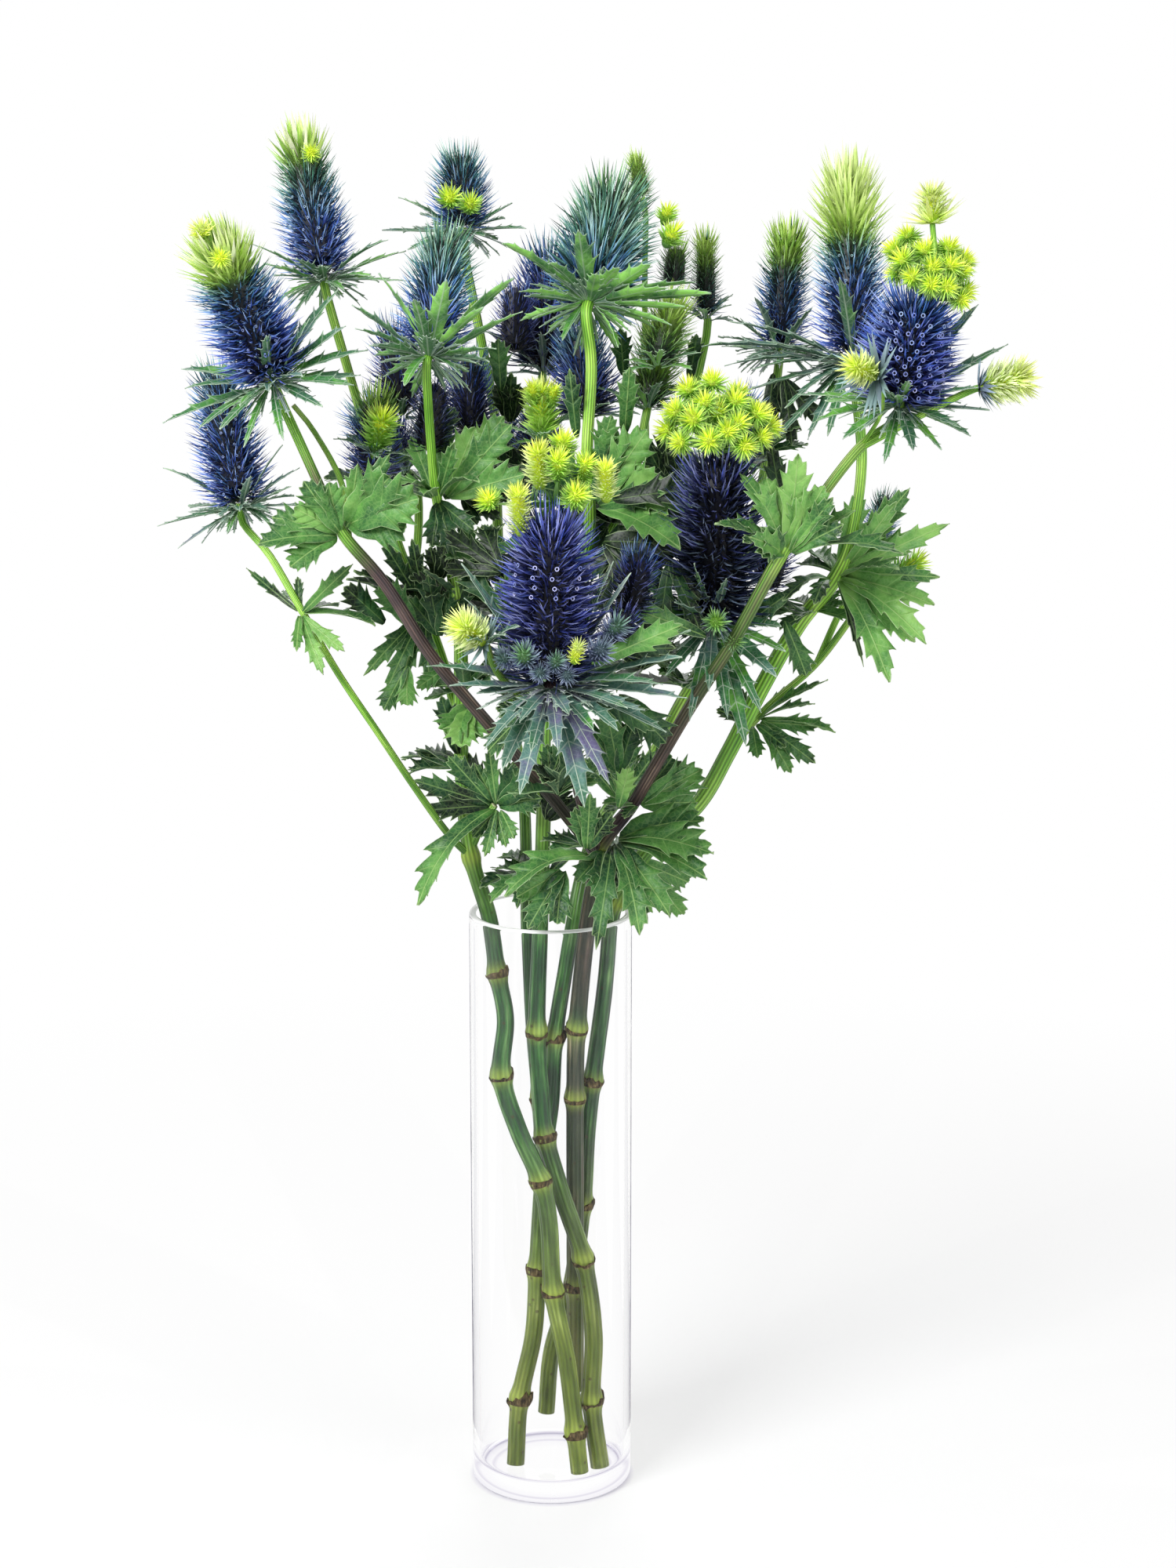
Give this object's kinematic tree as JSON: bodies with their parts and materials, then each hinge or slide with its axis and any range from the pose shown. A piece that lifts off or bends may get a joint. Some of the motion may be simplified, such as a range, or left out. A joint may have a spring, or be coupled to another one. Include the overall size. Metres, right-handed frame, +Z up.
{
  "type": "sea holly flower heads in a glass vase",
  "caption": "Cut, branching sea holly stems with spiny blue flower heads, bract collars and toothed leaves, standing in a clear glass cylinder vase.",
  "frame": {"origin": "middle of the vase's flat foot, on the surface it stands on", "axes": "+Z up along the vase; +X to the right and +Y to the back of the arrangement as it faces the viewer"},
  "size_m": [0.4114, 0.2825, 0.669],
  "materials": {
    "vase_glass": "clear blown glass, thick polished foot",
    "stem": "satin, ridged lengthwise, green with purple flushes",
    "florets": "matt, fine stiff spines, violet blue to blue green",
    "young_florets": "matt, fine soft spines, lime yellow",
    "bract": "satin, blue green with pale veins and spines",
    "leaf": "satin, mid green with pale veins and a spiny edge"
  },
  "bodies": {
    "root": {"bracts_back_left": "bract", "bracts_back_right": "bract", "bracts_front_centre": "bract", "bracts_front_left": "bract", "bracts_front_right": "bract", "bracts_leaning_left": "bract", "bracts_low_centre": "bract", "bracts_low_left": "bract", "bracts_tall_left": "bract", "bracts_tall_right": "bract", "bracts_top_centre": "bract", "bud_far_right": "young_florets", "bud_front_left": "young_florets", "bud_front_right": "young_florets", "bud_inner_left": "young_florets", "bud_low_right": "young_florets", "bud_pale_right": "young_florets", "bud_slim_centre": "young_florets", "crown_centre": "young_florets", "crown_front": "young_florets", "crown_right": "young_florets", "glass_vase": "vase_glass", "head_back_centre": "florets", "head_back_left": "florets", "head_back_right": "florets", "head_blue_centre": "florets", "head_front_centre": "florets", "head_front_left": "florets", "head_front_right": "florets", "head_green_centre": "florets", "head_inner_left": "florets", "head_leaning_left": "florets", "head_low_centre": "florets", "head_low_left": "florets", "head_low_right": "florets", "head_slim_back": "florets", "head_small_top": "florets", "head_tall_left": "florets", "head_tall_right": "florets", "head_top_centre": "florets", "leaves_back_right": "leaf", "leaves_centre": "leaf", "leaves_dark": "leaf", "leaves_fork": "leaf", "leaves_front_left": "leaf", "leaves_front_right": "leaf", "leaves_inner_left": "leaf", "leaves_low_left": "leaf", "leaves_right": "leaf", "leaves_rim": "leaf", "stem_back": "stem", "stem_centre": "stem", "stem_left": "stem", "stem_purple": "stem", "stem_right": "stem", "stem_thin": "stem"}
  },
  "joints": []
}
